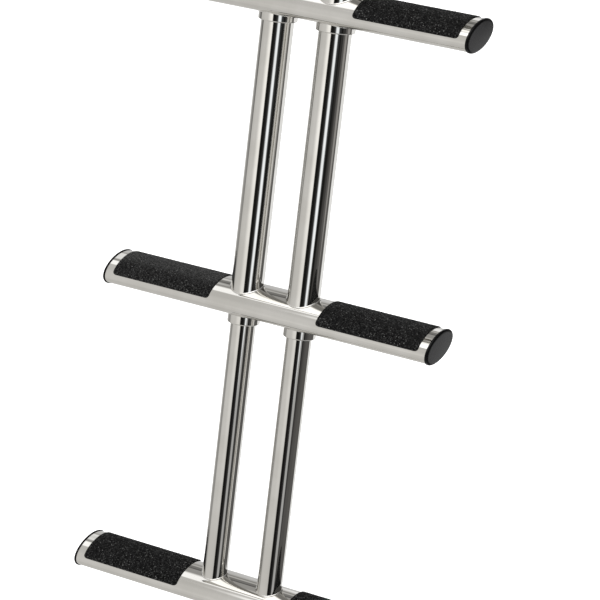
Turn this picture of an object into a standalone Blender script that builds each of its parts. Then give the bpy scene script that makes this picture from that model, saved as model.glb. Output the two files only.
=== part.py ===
# Telescopic boat ladder: three oval treads on two rows of telescoping tubes.
#
# Frame: metres, +Z up, X runs along the treads, +Y points at the boat.
# The origin is the centre of the mounting plate's boat-side face, and the
# plate's outward normal is +Y.  The treads stay level, and the tubes lean
# towards the boat at the top by TUBE_LEAN.
#
# Upper stage: fixed to the plate.  Middle stage: slides up inside the upper
# tubes.  Lower stage: slides up inside the middle tubes.  The ladder is
# modelled fully drawn out.

import math

import bmesh
import bpy
from mathutils import Matrix, Vector

# ----------------------------------------------------------------- dimensions
MM = 0.001

TUBE_LEAN = math.radians(17.5)     # tubes lean towards the boat at the top
TREAD_PITCH = 295.0 * MM           # tread to tread, along the tubes
TUBE_SPACING = 63.0 * MM           # centre to centre, along X

UPPER_TUBE_OD = 38.0 * MM
MIDDLE_TUBE_OD = 32.0 * MM
LOWER_TUBE_OD = 25.0 * MM
TUBE_WALL = 1.5 * MM

TREAD_LENGTH = 358.0 * MM          # steel tube of a tread, without its caps
TREAD_DEPTH = 52.0 * MM            # oval section, front to back
TREAD_HEIGHT = 27.0 * MM           # oval section, top to bottom
TREAD_WALL = 1.5 * MM

PAD_INNER_X = 60.0 * MM            # a pad's two ends, from the centre plane
PAD_OUTER_X = 170.5 * MM
PAD_THICKNESS = 1.0 * MM
PAD_EDGE_ANGLE = math.radians(21.0)  # the pad's long edges, on the oval
PAD_CORNER = 5.0 * MM

CAP_FLANGE = 3.4 * MM              # how far an end cap stands out
CAP_OVERSIZE = 0.8 * MM            # the flange stands proud of the oval tube
CAP_SPIGOT = 14.0 * MM             # how far it reaches into the tread
CAP_SPIGOT_WALL = 2.0 * MM
CAP_EDGE = 1.8 * MM                # rounding of the flange's outer edge

UPPER_TUBE_BELOW = 22.0 * MM       # tube end below its tread's centre line
MIDDLE_TUBE_BELOW = 24.0 * MM
TUBE_ENGAGED = 30.0 * MM           # inner tube's top, above the tread's centre
STROKE = 250.0 * MM                # each stage slides up this far
UPPER_TUBE_ABOVE = 304.0 * MM      # upper tube's top, above its tread

BUSH_INSET = 1.2 * MM              # a guide bush sits back from the tube's end
RING_LENGTH = 12.0 * MM            # stop ring round the top of an inner tube
RING_INSET = 1.0 * MM              # the ring sits below the inner tube's end

PLATE_WIDTH = 150.0 * MM
PLATE_HEIGHT = 210.0 * MM
PLATE_THICKNESS = 6.0 * MM
PLATE_CORNER = 16.0 * MM
PLATE_HOLE_R = 4.5 * MM            # for M8 bolts
PLATE_HOLE_X = 57.0 * MM           # hole centres, from the plate's centre
PLATE_HOLE_Z = 87.0 * MM

WEB_THICKNESS = 6.0 * MM           # upright webs between the plate and tubes
WEB_TOP = 88.0 * MM
WEB_BOTTOM = -88.0 * MM
PLATE_GAP_TOP = 16.0 * MM          # tube surface to plate, at the web's top

TOP_CAP_FLANGE = 3.0 * MM          # plastic plug in the top of an upper tube

GAP = 0.3 * MM                     # between pieces that touch

TUBE_SIDES = 28
OVAL_SIDES = 40
CAP_SIDES = 32

# ------------------------------------------------------------------ geometry
LEAN = Vector((0.0, math.sin(TUBE_LEAN), math.cos(TUBE_LEAN)))    # up the tubes
ACROSS = Vector((0.0, math.cos(TUBE_LEAN), -math.sin(TUBE_LEAN))) # to the boat

UPPER_R = UPPER_TUBE_OD / 2.0
MIDDLE_R = MIDDLE_TUBE_OD / 2.0
LOWER_R = LOWER_TUBE_OD / 2.0

# The tubes' centre line passes through this height and depth at the web's top.
_axis_y_at_web_top = -(PLATE_THICKNESS + PLATE_GAP_TOP
                       + UPPER_R / math.cos(TUBE_LEAN))
# Upper tube's top end sits a little above the web's top.
TUBE_TOP_ABOVE_WEB = 22.0 * MM
_tube_top = Vector((0.0, _axis_y_at_web_top, WEB_TOP)) + LEAN * TUBE_TOP_ABOVE_WEB

UPPER_TREAD = _tube_top - LEAN * UPPER_TUBE_ABOVE
MIDDLE_TREAD = UPPER_TREAD - LEAN * TREAD_PITCH
LOWER_TREAD = MIDDLE_TREAD - LEAN * TREAD_PITCH


# ------------------------------------------------------------------- helpers
def clear_scene():
    for obj in list(bpy.data.objects):
        bpy.data.objects.remove(obj, do_unlink=True)
    for coll in list(bpy.data.collections):
        bpy.data.collections.remove(coll)


def make_collection(name):
    coll = bpy.data.collections.new(name)
    bpy.context.scene.collection.children.link(coll)
    return coll


def make_material(name, colour, roughness, metallic):
    mat = bpy.data.materials.new(name)
    mat.use_nodes = True
    bsdf = mat.node_tree.nodes["Principled BSDF"]
    bsdf.inputs["Base Color"].default_value = (*colour, 1.0)
    bsdf.inputs["Roughness"].default_value = roughness
    bsdf.inputs["Metallic"].default_value = metallic
    return mat


def finish_mesh(name, bm, coll, material, matrix=None):
    """Write a bmesh to a new object, shaded smooth with sharp edges kept."""
    bmesh.ops.recalc_face_normals(bm, faces=bm.faces)
    mesh = bpy.data.meshes.new(name)
    bm.to_mesh(mesh)
    bm.free()
    mesh.shade_smooth()
    mesh.set_sharp_from_angle(angle=math.radians(35.0))
    obj = bpy.data.objects.new(name, mesh)
    coll.objects.link(obj)
    if matrix is not None:
        obj.matrix_world = matrix
    if material is not None:
        mesh.materials.append(material)
    return obj


def tube_matrix(centre):
    """Local +Z up along the leaning tubes, local +X along the treads."""
    rot = Matrix((Vector((1.0, 0.0, 0.0)), ACROSS, LEAN)).transposed()
    return Matrix.Translation(centre) @ rot.to_4x4()


def turned(bm, profile, sides=TUBE_SIDES):
    """A closed (radius, height) profile spun about local Z into a ring."""
    verts = [bm.verts.new((r, 0.0, z)) for r, z in profile]
    edges = [bm.edges.new((verts[i], verts[(i + 1) % len(verts)]))
             for i in range(len(verts))]
    bmesh.ops.spin(bm, geom=verts + edges, cent=(0, 0, 0), axis=(0, 0, 1),
                   angle=2.0 * math.pi, steps=sides, use_merge=True)
    bmesh.ops.remove_doubles(bm, verts=bm.verts, dist=1e-6)


def oval(depth, height, sides=OVAL_SIDES, start=0.0, end=None):
    """Points of an oval in the YZ plane, from angle start to angle end."""
    closed = end is None
    if closed:
        end = start + 2.0 * math.pi
    count = sides if closed else sides + 1
    pts = []
    for i in range(count):
        a = start + (end - start) * i / sides
        pts.append((0.5 * depth * math.cos(a), 0.5 * height * math.sin(a)))
    return pts


def loft_x(bm, sections):
    """Skin closed YZ loops standing at given X, and close both ends."""
    loops = []
    for x, pts in sections:
        loops.append([bm.verts.new((x, y, z)) for y, z in pts])
    n = len(loops[0])
    for a, b in zip(loops[:-1], loops[1:]):
        for i in range(n):
            j = (i + 1) % n
            bm.faces.new((a[i], a[j], b[j], b[i]))
    return loops


def cutter_cylinder(name, radius, length, matrix, coll, sides=TUBE_SIDES):
    bm = bmesh.new()
    bmesh.ops.create_cone(bm, cap_ends=True, segments=sides, radius1=radius,
                          radius2=radius, depth=length)
    obj = finish_mesh(name, bm, coll, None, matrix)
    obj.hide_render = True
    obj.display_type = 'WIRE'
    return obj


def cut(obj, cutter):
    mod = obj.modifiers.new("cut_" + cutter.name, 'BOOLEAN')
    mod.operation = 'DIFFERENCE'
    mod.solver = 'EXACT'
    mod.object = cutter


# -------------------------------------------------------------------- pieces
def make_tube(name, centre, low, high, outer_r, coll, mat):
    """Round tube from low to high along the lean, measured from centre."""
    inner_r = outer_r - TUBE_WALL
    bm = bmesh.new()
    turned(bm, [(inner_r, low), (outer_r, low), (outer_r, high), (inner_r, high)])
    return finish_mesh(name, bm, coll, mat, tube_matrix(centre))


def make_bush(name, centre, end, outer_r, inner_r, coll, mat):
    """Guide bush inside an outer tube's lower end; it carries the inner tube.

    The stop ring of the drawn-out inner tube rests on the bush's top.
    """
    r_out = outer_r - TUBE_WALL - GAP
    r_in = inner_r + GAP
    low = end + BUSH_INSET
    high = TUBE_ENGAGED - RING_INSET - RING_LENGTH - GAP
    lead = 0.5 * MM
    bm = bmesh.new()
    turned(bm, [(r_in + lead * 0.6, low), (r_out, low),
                (r_out, high), (r_in, high),
                (r_in, low + 2.0 * lead)])
    return finish_mesh(name, bm, coll, mat, tube_matrix(centre))


def make_stop_ring(name, centre, top, outer_r, inner_r, coll, mat):
    """Ring round an inner tube's top end; it rests on the bush when drawn out."""
    r_out = outer_r - TUBE_WALL - GAP
    r_in = inner_r + GAP
    bm = bmesh.new()
    turned(bm, [(r_in, top - RING_LENGTH), (r_out, top - RING_LENGTH),
                (r_out, top), (r_in, top)])
    return finish_mesh(name, bm, coll, mat, tube_matrix(centre))


def make_tread(name, centre, coll, cutters, mat, holes, through):
    """Oval tube with the round holes that its two uprights pass through."""
    outer = oval(TREAD_DEPTH, TREAD_HEIGHT)
    inner = oval(TREAD_DEPTH - 2 * TREAD_WALL, TREAD_HEIGHT - 2 * TREAD_WALL)
    half = TREAD_LENGTH / 2.0
    bm = bmesh.new()
    a = [bm.verts.new((-half, y, z)) for y, z in outer]
    b = [bm.verts.new((half, y, z)) for y, z in outer]
    c = [bm.verts.new((half, y, z)) for y, z in inner]
    d = [bm.verts.new((-half, y, z)) for y, z in inner]
    n = len(outer)
    for p, q in ((a, b), (b, c), (c, d), (d, a)):
        for i in range(n):
            j = (i + 1) % n
            bm.faces.new((p[i], p[j], q[j], q[i]))
    obj = finish_mesh(name, bm, coll, mat, Matrix.Translation(centre))
    for side, x in (("left", -TUBE_SPACING / 2), ("right", TUBE_SPACING / 2)):
        reach = 60.0 * MM
        at = centre + Vector((x, 0, 0))
        if not through:
            at = at + LEAN * (reach / 2.0)
        c = cutter_cylinder(name + "_hole_" + side, holes + GAP, reach,
                            tube_matrix(at), cutters)
        cut(obj, c)
    return obj


def make_end_cap(name, centre, sign, coll, mat):
    """Plastic plug: an oval flange outside the tread, a hollow spigot inside."""
    half = TREAD_LENGTH / 2.0
    fit = 2 * (TREAD_WALL + GAP)
    full = (TREAD_DEPTH + 2 * CAP_OVERSIZE, TREAD_HEIGHT + 2 * CAP_OVERSIZE)
    small = (TREAD_DEPTH - fit, TREAD_HEIGHT - fit)
    bore = (small[0] - 2 * CAP_SPIGOT_WALL, small[1] - 2 * CAP_SPIGOT_WALL)

    def sec(x, size, shrink=0.0):
        return (sign * x, oval(size[0] - 2 * shrink, size[1] - 2 * shrink,
                               CAP_SIDES))

    e = CAP_EDGE
    sections = [
        sec(half - CAP_SPIGOT, bore),
        sec(half - CAP_SPIGOT, small),
        sec(half + GAP, small),
        sec(half + GAP, full),
        sec(half + CAP_FLANGE - e, full),
        sec(half + CAP_FLANGE - 0.35 * e, full, 0.24 * e),
        sec(half + CAP_FLANGE, full, e),
    ]
    bm = bmesh.new()
    loops = loft_x(bm, sections)
    bm.faces.new(loops[-1])
    floor = [bm.verts.new((sign * (half + GAP), y, z)) for y, z in oval(*bore, CAP_SIDES)]
    n = len(floor)
    for i in range(n):
        j = (i + 1) % n
        bm.faces.new((loops[0][i], loops[0][j], floor[j], floor[i]))
    bm.faces.new(floor)
    return finish_mesh(name, bm, coll, mat, Matrix.Translation(centre))


def make_pad(name, centre, sign, coll, mat):
    """Thin non-slip sheet bent over the tread's top, with rounded corners."""
    mid = 0.5 * (PAD_INNER_X + PAD_OUTER_X)
    half = 0.5 * (PAD_OUTER_X - PAD_INNER_X)
    lo, hi = PAD_EDGE_ANGLE, math.pi - PAD_EDGE_ANGLE
    radius_for_arc = 0.5 * TREAD_DEPTH
    corner_angle = PAD_CORNER / (0.72 * radius_for_arc)
    steps = 14
    angles = [lo + (hi - lo) * i / steps for i in range(steps + 1)]
    extra = [corner_angle * f for f in (0.08, 0.3, 0.65)]
    angles = sorted(set(angles + [lo + e for e in extra] + [hi - e for e in extra]))

    def inset(a):
        d = min(a - lo, hi - a) / corner_angle
        if d >= 1.0:
            return 0.0
        return PAD_CORNER * (1.0 - math.sqrt(max(0.0, 1.0 - (1.0 - d) ** 2)))

    bm = bmesh.new()
    rows = []
    for a in angles:
        reach = half - inset(a)
        row = []
        for grow in (GAP, GAP + PAD_THICKNESS):
            ry = 0.5 * TREAD_DEPTH + grow
            rz = 0.5 * TREAD_HEIGHT + grow
            for x in (-reach, reach):
                row.append(bm.verts.new((sign * mid + x, ry * math.cos(a),
                                         rz * math.sin(a))))
        rows.append(row)        # inner low, inner high, outer low, outer high
    for p, q in zip(rows[:-1], rows[1:]):
        for i, j in ((0, 1), (1, 3), (3, 2), (2, 0)):
            bm.faces.new((p[i], p[j], q[j], q[i]))
    for row in (rows[0], rows[-1]):
        bm.faces.new((row[0], row[1], row[3], row[2]))
    return finish_mesh(name, bm, coll, mat, Matrix.Translation(centre))


def make_top_plug(name, centre, top, outer_r, coll, mat):
    """Plastic plug that closes the top of an upper tube."""
    r_in = outer_r - TUBE_WALL - GAP
    bm = bmesh.new()
    verts = [(0.0, top - 8.0 * MM), (r_in, top - 8.0 * MM), (r_in, top + GAP),
             (outer_r, top + GAP), (outer_r, top + TOP_CAP_FLANGE - 1.0 * MM),
             (outer_r - 1.0 * MM, top + TOP_CAP_FLANGE), (0.0, top + TOP_CAP_FLANGE)]
    line = [bm.verts.new((r, 0.0, z)) for r, z in verts]
    edges = [bm.edges.new((line[i], line[i + 1])) for i in range(len(line) - 1)]
    bmesh.ops.spin(bm, geom=line + edges, cent=(0, 0, 0), axis=(0, 0, 1),
                   angle=2.0 * math.pi, steps=TUBE_SIDES, use_merge=True)
    bmesh.ops.remove_doubles(bm, verts=bm.verts, dist=1e-6)
    return finish_mesh(name, bm, coll, mat, tube_matrix(centre))


def make_plate(coll, cutters, mat):
    """Mounting plate with rounded corners; its boat-side face is at Y = 0."""
    curve = bpy.data.curves.new("mounting_plate_outline", 'CURVE')
    curve.dimensions = '2D'
    curve.fill_mode = 'BOTH'
    curve.extrude = PLATE_THICKNESS / 2.0
    pts = []
    w, h, r = PLATE_WIDTH / 2, PLATE_HEIGHT / 2, PLATE_CORNER
    for cx, cy, start in ((w - r, h - r, 0.0), (-w + r, h - r, 90.0),
                          (-w + r, -h + r, 180.0), (w - r, -h + r, 270.0)):
        for i in range(9):
            a = math.radians(start + 90.0 * i / 8)
            pts.append((cx + r * math.cos(a), cy + r * math.sin(a)))
    spline = curve.splines.new('POLY')
    spline.points.add(len(pts) - 1)
    for p, (x, y) in zip(spline.points, pts):
        p.co = (x, y, 0.0, 1.0)
    spline.use_cyclic_u = True
    temp = bpy.data.objects.new("plate_outline", curve)
    coll.objects.link(temp)
    temp.matrix_world = (Matrix.Translation((0.0, -PLATE_THICKNESS / 2, 0.0))
                         @ Matrix.Rotation(math.radians(90.0), 4, 'X'))
    bpy.context.view_layer.update()
    deps = bpy.context.evaluated_depsgraph_get()
    mesh = bpy.data.meshes.new_from_object(temp.evaluated_get(deps))
    bm = bmesh.new()
    bm.from_mesh(mesh)
    bmesh.ops.remove_doubles(bm, verts=bm.verts, dist=1e-5)
    matrix = temp.matrix_world.copy()
    bpy.data.objects.remove(temp, do_unlink=True)
    plate = finish_mesh("mounting_plate", bm, coll, mat, matrix)
    for sx in (-1, 1):
        for sz in (-1, 1):
            name = "plate_hole_%s_%s" % ("left" if sx < 0 else "right",
                                         "lower" if sz < 0 else "upper")
            m = (Matrix.Translation((sx * PLATE_HOLE_X, 0.0, sz * PLATE_HOLE_Z))
                 @ Matrix.Rotation(math.radians(90.0), 4, 'X'))
            cut(plate, cutter_cylinder(name, PLATE_HOLE_R, 40.0 * MM, m,
                                       cutters, 20))
    return plate


def make_web(name, x, coll, mat):
    """Upright web: one edge on the plate, the other along the leaning tube."""
    y_plate = -(PLATE_THICKNESS + GAP)

    def y_tube(z):
        axis_y = _axis_y_at_web_top + (z - WEB_TOP) * math.tan(TUBE_LEAN)
        return axis_y + (UPPER_R + GAP) / math.cos(TUBE_LEAN)

    outline = [(y_plate, WEB_TOP), (y_tube(WEB_TOP), WEB_TOP),
               (y_tube(WEB_BOTTOM), WEB_BOTTOM), (y_plate, WEB_BOTTOM)]
    bm = bmesh.new()
    lo = [bm.verts.new((x - WEB_THICKNESS / 2, y, z)) for y, z in outline]
    hi = [bm.verts.new((x + WEB_THICKNESS / 2, y, z)) for y, z in outline]
    bm.faces.new(lo)
    bm.faces.new(hi)
    for i in range(4):
        j = (i + 1) % 4
        bm.faces.new((lo[i], lo[j], hi[j], hi[i]))
    return finish_mesh(name, bm, coll, mat)


# ------------------------------------------------------------------ assembly
def main():
    clear_scene()
    parts = make_collection("telescopic_boat_ladder")
    cutters = make_collection("cutters")
    cutters.hide_render = True

    steel = make_material("polished_steel", (0.78, 0.77, 0.75), 0.06, 1.0)
    pad = make_material("non_slip_pad", (0.018, 0.018, 0.02), 0.85, 0.0)
    black = make_material("black_plastic", (0.03, 0.03, 0.033), 0.25, 0.0)
    white = make_material("white_nylon", (0.78, 0.78, 0.76), 0.45, 0.0)

    make_plate(parts, cutters, steel)
    sides = (("left", -1), ("right", 1))
    for side, s in sides:
        x = Vector((s * TUBE_SPACING / 2, 0.0, 0.0))
        make_web("web_" + side, x.x, parts, steel)
        # upper stage
        c = UPPER_TREAD + x
        make_tube("upper_tube_" + side, c, -UPPER_TUBE_BELOW, UPPER_TUBE_ABOVE,
                  UPPER_R, parts, steel)
        make_top_plug("upper_tube_plug_" + side, c, UPPER_TUBE_ABOVE, UPPER_R,
                      parts, black)
        make_bush("upper_bush_" + side, c, -UPPER_TUBE_BELOW, UPPER_R, MIDDLE_R,
                  parts, white)
        # middle stage
        c = MIDDLE_TREAD + x
        top = TREAD_PITCH + TUBE_ENGAGED
        make_tube("middle_tube_" + side, c, -MIDDLE_TUBE_BELOW, top, MIDDLE_R,
                  parts, steel)
        make_bush("middle_bush_" + side, c, -MIDDLE_TUBE_BELOW, MIDDLE_R,
                  LOWER_R, parts, white)
        make_stop_ring("middle_stop_ring_" + side, c, top - RING_INSET, UPPER_R,
                       MIDDLE_R, parts, white)
        # lower stage
        c = LOWER_TREAD + x
        make_tube("lower_tube_" + side, c, 0.0, top, LOWER_R, parts, steel)
        make_stop_ring("lower_stop_ring_" + side, c, top - RING_INSET, MIDDLE_R,
                       LOWER_R, parts, white)

    for stage, centre, r, through in (("upper", UPPER_TREAD, UPPER_R, True),
                                      ("middle", MIDDLE_TREAD, MIDDLE_R, True),
                                      ("lower", LOWER_TREAD, LOWER_R, False)):
        make_tread(stage + "_tread", centre, parts, cutters, steel, r, through)
        for side, s in sides:
            make_pad("%s_pad_%s" % (stage, side), centre, s, parts, pad)
            make_end_cap("%s_end_cap_%s" % (stage, side), centre, s, parts, black)

    bpy.context.view_layer.update()


main()
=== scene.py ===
import math

import bpy
import numpy as np
from mathutils import Matrix, Vector
from mathutils.geometry import delaunay_2d_cdt


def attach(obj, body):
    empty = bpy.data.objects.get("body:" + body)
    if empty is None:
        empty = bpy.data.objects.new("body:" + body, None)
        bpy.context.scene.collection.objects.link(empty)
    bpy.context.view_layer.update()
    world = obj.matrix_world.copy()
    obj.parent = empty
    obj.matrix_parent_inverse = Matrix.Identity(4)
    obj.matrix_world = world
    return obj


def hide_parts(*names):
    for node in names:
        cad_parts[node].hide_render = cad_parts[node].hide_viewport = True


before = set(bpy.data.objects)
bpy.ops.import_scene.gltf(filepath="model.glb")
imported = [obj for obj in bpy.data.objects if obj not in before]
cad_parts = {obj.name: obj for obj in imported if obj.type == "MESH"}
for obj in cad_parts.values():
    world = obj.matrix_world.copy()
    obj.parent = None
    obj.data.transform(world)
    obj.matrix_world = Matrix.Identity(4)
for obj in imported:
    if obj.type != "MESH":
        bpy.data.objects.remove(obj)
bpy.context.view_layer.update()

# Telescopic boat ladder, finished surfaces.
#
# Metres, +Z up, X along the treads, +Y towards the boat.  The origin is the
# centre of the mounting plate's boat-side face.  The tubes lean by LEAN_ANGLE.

# ------------------------------------------------------------ dimensions (mm)
LEAN_ANGLE = math.radians(17.5)
TREAD_PITCH = 295.0
TUBE_SPACING = 63.0
UPPER_R, MIDDLE_R, LOWER_R = 19.0, 16.0, 12.5
TUBE_WALL = 1.5

TREAD_LENGTH = 358.0
TREAD_A, TREAD_B = 26.0, 13.5          # half depth, half height of the oval
TREAD_WALL = 1.5

PAD_INNER_X, PAD_OUTER_X = 60.0, 170.5
PAD_EDGE_ANGLE = math.radians(21.0)
PAD_CORNER = 3.6

CAP_FLANGE = 3.4
CAP_OVERSIZE = 0.8
CAP_SPIGOT = 14.0
CAP_SPIGOT_WALL = 2.0

UPPER_TUBE_BELOW, MIDDLE_TUBE_BELOW = 22.0, 24.0
TUBE_ENGAGED = 30.0
UPPER_TUBE_ABOVE = 304.0
BUSH_INSET = 1.2
RING_LENGTH, RING_INSET = 12.0, 1.0

PLATE_W, PLATE_H, PLATE_T, PLATE_CORNER = 150.0, 210.0, 6.0, 16.0
PLATE_HOLE_R, PLATE_HOLE_X, PLATE_HOLE_Z = 4.5, 57.0, 87.0
WEB_T, WEB_TOP, WEB_BOTTOM = 6.0, 88.0, -88.0
PLATE_GAP_TOP = 16.0
TUBE_TOP_ABOVE_WEB = 22.0
TOP_CAP_FLANGE = 3.0
GAP = 0.3

MM = 0.001
SIN, COS = math.sin(LEAN_ANGLE), math.cos(LEAN_ANGLE)
UP = np.array([0.0, SIN, COS])          # up the tubes
ACROSS = np.array([0.0, COS, -SIN])     # square to the tubes, to the boat
AXIS_Y_TOP = -(PLATE_T + PLATE_GAP_TOP + UPPER_R / COS)

UPPER_TREAD = (np.array([0.0, AXIS_Y_TOP, WEB_TOP])
               + UP * (TUBE_TOP_ABOVE_WEB - UPPER_TUBE_ABOVE))
MIDDLE_TREAD = UPPER_TREAD - UP * TREAD_PITCH
LOWER_TREAD = MIDDLE_TREAD - UP * TREAD_PITCH


# =========================================================== mesh building
class Solid:
    """Vertices, faces and one normal for each face corner, in millimetres."""

    def __init__(self):
        self.points, self.count = [], 0
        self.corners, self.sizes, self.normals = [], [], []

    def verts(self, pts):
        base = self.count
        pts = np.asarray(pts, float).reshape(-1, 3)
        self.points.append(pts)
        self.count += len(pts)
        return base

    def faces(self, index, normals):
        """index (k, s) and normals (k, s, 3); the winding follows the normals."""
        index = np.asarray(index, int)
        normals = np.asarray(normals, float)
        pts = np.concatenate(self.points)
        tri = pts[index]
        face_normal = np.zeros((len(index), 3))
        s = index.shape[1]
        for i in range(1, s - 1):
            face_normal += np.cross(tri[:, i] - tri[:, 0], tri[:, i + 1] - tri[:, 0])
        flip = (face_normal * normals.mean(axis=1)).sum(axis=1) < 0
        index, normals = index.copy(), normals.copy()
        index[flip] = index[flip][:, ::-1]
        normals[flip] = normals[flip][:, ::-1]
        self.corners.append(index.ravel())
        self.sizes.append(np.full(len(index), s))
        self.normals.append(normals.reshape(-1, 3))

    def make(self, name, material, matrix=None):
        pts = np.concatenate(self.points) * MM
        corners = np.concatenate(self.corners)
        sizes = np.concatenate(self.sizes)
        normals = np.concatenate(self.normals)
        normals /= np.maximum(np.linalg.norm(normals, axis=1, keepdims=True), 1e-12)
        mesh = bpy.data.meshes.new(name)
        mesh.vertices.add(len(pts))
        mesh.vertices.foreach_set("co", pts.astype(np.float32).ravel())
        mesh.loops.add(len(corners))
        mesh.loops.foreach_set("vertex_index", corners.astype(np.int32))
        mesh.polygons.add(len(sizes))
        starts = np.concatenate([[0], np.cumsum(sizes)[:-1]])
        mesh.polygons.foreach_set("loop_start", starts.astype(np.int32))
        mesh.update(calc_edges=True)
        mesh.shade_smooth()
        mesh.normals_split_custom_set([tuple(n) for n in normals])
        obj = bpy.data.objects.new(name, mesh)
        bpy.context.scene.collection.objects.link(obj)
        if matrix is not None:
            obj.matrix_world = matrix
        mesh.materials.append(material)
        return obj


def corner_profile(corners, closed=True):
    """A (g, h) outline with rounded corners.

    corners are (g, h, radius), wound with the solid on the left.  Returns the
    points with the normal arriving at and the normal leaving each of them.
    """
    pts = [np.array(c[:2], float) for c in corners]
    rad = [c[2] for c in corners]
    n = len(pts)
    out = []

    def unit(v):
        return v / np.linalg.norm(v)

    def side(d):
        return np.array([d[1], -d[0]])

    for i in range(n):
        first, last = i == 0 and not closed, i == n - 1 and not closed
        d_in = None if first else unit(pts[i] - pts[i - 1])
        d_out = None if last else unit(pts[(i + 1) % n] - pts[i])
        if first or last or rad[i] <= 0:
            n_in = side(d_out if first else d_in)
            n_out = side(d_in if last else d_out)
            out.append((pts[i], n_in, n_out))
            continue
        turn = math.atan2(d_in[0] * d_out[1] - d_in[1] * d_out[0], d_in @ d_out)
        r = rad[i]
        cut = r * math.tan(abs(turn) / 2)
        start = pts[i] - d_in * cut
        sign = 1.0 if turn > 0 else -1.0
        centre = start - side(d_in) * r * sign
        steps = max(3, int(math.ceil(abs(turn) / math.radians(15.0))))
        a0 = math.atan2(*(start - centre)[::-1])
        for k in range(steps + 1):
            a = a0 + turn * k / steps
            radial = np.array([math.cos(a), math.sin(a)])
            out.append((centre + radial * r, radial * sign, radial * sign))
    return out


def sweep(solid, loop, loop_n, profile, lift, closed=True):
    """Carries a (g, h) profile round a closed loop and adds the skin.

    loop and loop_n are (n, 2) plane points and unit normals; lift(p2, h) maps
    plane points and heights to 3D, and lift(n2, h) maps their directions.
    Returns the vertex index of each profile point round the loop, (m, n).
    """
    n, m = len(loop), len(profile)
    grid = np.zeros((m, n), int)
    for j, (p, _, _) in enumerate(profile):
        base = solid.verts(lift(loop + loop_n * p[0], p[1]))
        grid[j] = base + np.arange(n)
    nxt = np.roll(np.arange(n), -1)
    pairs = m if closed else m - 1
    for j in range(pairs):
        k = (j + 1) % m
        if np.allclose(profile[j][0], profile[k][0], atol=1e-9):
            continue
        a = lift(loop_n * profile[j][2][0], profile[j][2][1])
        b = lift(loop_n * profile[k][1][0], profile[k][1][1])
        index = np.stack([grid[j], grid[j][nxt], grid[k][nxt], grid[k]], 1)
        normals = np.stack([a, a[nxt], b[nxt], b], 1)
        solid.faces(index, normals)
    return grid


def lift_z(p, h):
    """Plane (x, y), height z."""
    return np.column_stack([p[:, 0], p[:, 1], np.full(len(p), float(h))])


def circle(radius, sides):
    a = np.linspace(0, 2 * math.pi, sides, endpoint=False)
    n = np.column_stack([np.cos(a), np.sin(a)])
    return n * radius, n


def ellipse(a, b, sides):
    t = np.linspace(0, 2 * math.pi, sides, endpoint=False)
    n = np.column_stack([b * np.cos(t), a * np.sin(t)])
    n /= np.linalg.norm(n, axis=1, keepdims=True)
    return np.column_stack([a * np.cos(t), b * np.sin(t)]), n


def tube_matrix(centre_mm):
    rot = Matrix((Vector((1.0, 0.0, 0.0)), Vector(ACROSS), Vector(UP))).transposed()
    return Matrix.Translation(Vector(centre_mm) * MM) @ rot.to_4x4()


def shift_matrix(centre_mm):
    return Matrix.Translation(Vector(centre_mm) * MM)


# --------------------------------------------------------------- turned pieces
def turned(name, corners, material, matrix, sides=144, closed=True):
    """A solid of revolution about local Z; corners are (radius, height, round)."""
    solid = Solid()
    loop, loop_n = circle(0.0, sides)
    if closed:
        sweep(solid, loop, loop_n, corner_profile(corners), lift_z)
    else:
        # both ends lie on the axis: close them with a fan
        profile = corner_profile(corners, closed=False)
        inner = [p for p in profile if p[0][0] > 1e-6]
        grid = sweep(solid, loop, loop_n, inner, lift_z, closed=False)
        nxt = np.roll(np.arange(sides), -1)
        for end, ring, nz in ((profile[0], grid[0], profile[0][2]),
                              (profile[-1], grid[-1], profile[-1][1])):
            tip = solid.verts([[0.0, 0.0, end[0][1]]])
            index = np.stack([ring, ring[nxt], np.full(sides, tip)], 1)
            normal = np.tile(np.array([0.0, 0.0, nz[1]]), (sides, 3, 1))
            solid.faces(index, normal)
    return solid.make(name, material, matrix)


def tube(name, centre, low, high, radius, material, round_low=1.1, round_high=0.5):
    inner = radius - TUBE_WALL
    return turned(name, [(inner, low, 0.25), (radius, low, round_low),
                         (radius, high, round_high), (inner, high, 0.3)],
                  material, tube_matrix(centre))


# ---------------------------------------------------------------------- treads
def saddle(a, b, radius, x0, side, steps):
    """Where a leaning tube of this radius meets the oval: (x, angle) points.

    side is +1 for the tread's top and -1 for its underside.
    """
    reach = math.hypot(a * COS, b * SIN)
    turn = math.atan2(b * SIN, a * COS)
    beta = np.linspace(0, 2 * math.pi, steps, endpoint=False)
    phi = -turn + side * np.arccos(radius * np.cos(beta) / reach)
    phi = np.mod(phi, 2 * math.pi)
    return x0 + radius * np.sin(beta), phi, beta


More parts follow.
